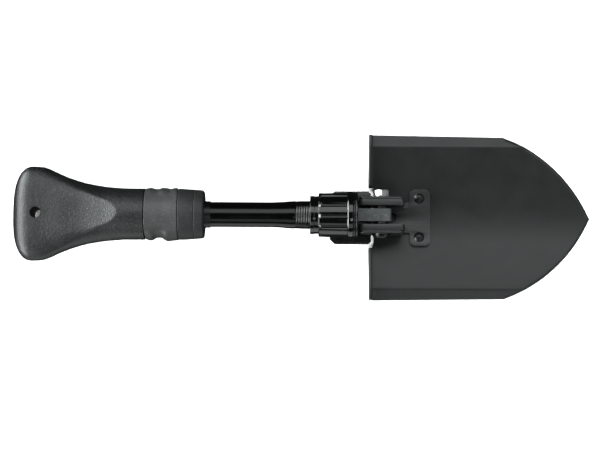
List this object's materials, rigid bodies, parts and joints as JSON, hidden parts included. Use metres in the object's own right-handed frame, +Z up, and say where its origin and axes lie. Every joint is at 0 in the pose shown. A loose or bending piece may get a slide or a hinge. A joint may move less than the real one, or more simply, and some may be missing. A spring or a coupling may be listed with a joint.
{
  "type": "camp shovel",
  "caption": "Folding camp shovel with a pointed steel blade, a hinge locked by a fluted nut, and a tube that telescopes into a moulded handle with a flared pommel.",
  "frame": {"origin": "middle of the floor rectangle under the whole shovel, open and extended, lying on the back of its blade", "axes": "+X along the shaft towards the blade tip, +Z up out of the blade face, +Y across"},
  "size_m": [0.4739, 0.1374, 0.047],
  "materials": {
    "handle_nylon": "moulded, fine grain",
    "grip_rubber": "satin moulded rubber",
    "ferrule_plastic": "satin moulded",
    "bushing_plastic": "satin",
    "shaft_black": "gloss black",
    "nut_black": "gloss black",
    "ring_black": "satin",
    "yoke_grey": "satin grey",
    "pad_black": "gloss black",
    "blade_black": "satin powder coat",
    "bracket_black": "satin powder coat",
    "bolt_black": "gloss black",
    "zinc": "zinc plated",
    "spring_steel": "bright"
  },
  "bodies": {
    "handle": {"handle_body": "handle_nylon", "grip_sleeve": "grip_rubber", "ferrule_ring": "ferrule_plastic", "ferrule_end_ring": "ferrule_plastic", "mouth_bushing": "bushing_plastic"},
    "shaft": {"shaft_tube": "shaft_black", "guide_ring": "bushing_plastic", "button_spring": "spring_steel", "yoke": "yoke_grey", "yoke_pin": "spring_steel", "hammer_pad": "pad_black", "pad_rivets": "bolt_black"},
    "snap_button": {"snap_button": "zinc"},
    "thrust_ring": {"thrust_ring": "ring_black", "wave_washer": "ring_black"},
    "lock_nut": {"lock_nut": "nut_black"},
    "blade": {"blade": "blade_black", "hinge_bracket": "bracket_black", "cheek_plate_left": "bracket_black", "cheek_plate_right": "bracket_black", "bracket_rivets": "blade_black", "pivot_bolt": "bolt_black", "pivot_nut": "zinc", "pivot_washer": "zinc", "spacer_washers": "bolt_black"}
  },
  "joints": [
    {"name": "telescope", "type": "slide", "parent": "handle", "child": "shaft", "axis": [-1, 0, 0], "range_m": [0, 0.049]},
    {"name": "button_press", "type": "slide", "parent": "shaft", "child": "snap_button", "axis": [0, 0, -1], "range_m": [0, 0.0038], "stiffness_N_per_m": 300},
    {"name": "nut_travel", "type": "slide", "parent": "shaft", "child": "thrust_ring", "axis": [-1, 0, 0], "range_m": [-0.00068, 0.00605]},
    {"name": "nut_turn", "type": "hinge", "parent": "thrust_ring", "child": "lock_nut", "pos_m": [0.02325, 0, 0.026], "axis": [-1, 0, 0], "range_deg": [-120, 1080]},
    {"name": "fold", "type": "hinge", "parent": "shaft", "child": "blade", "pos_m": [0.06325, 0, 0.026], "axis": [0, -1, 0], "range_deg": [0, 180]}
  ],
  "couplings": [
    {"joint": "nut_travel", "follows": "nut_turn", "m_per_rad": 0.00031831}
  ]
}
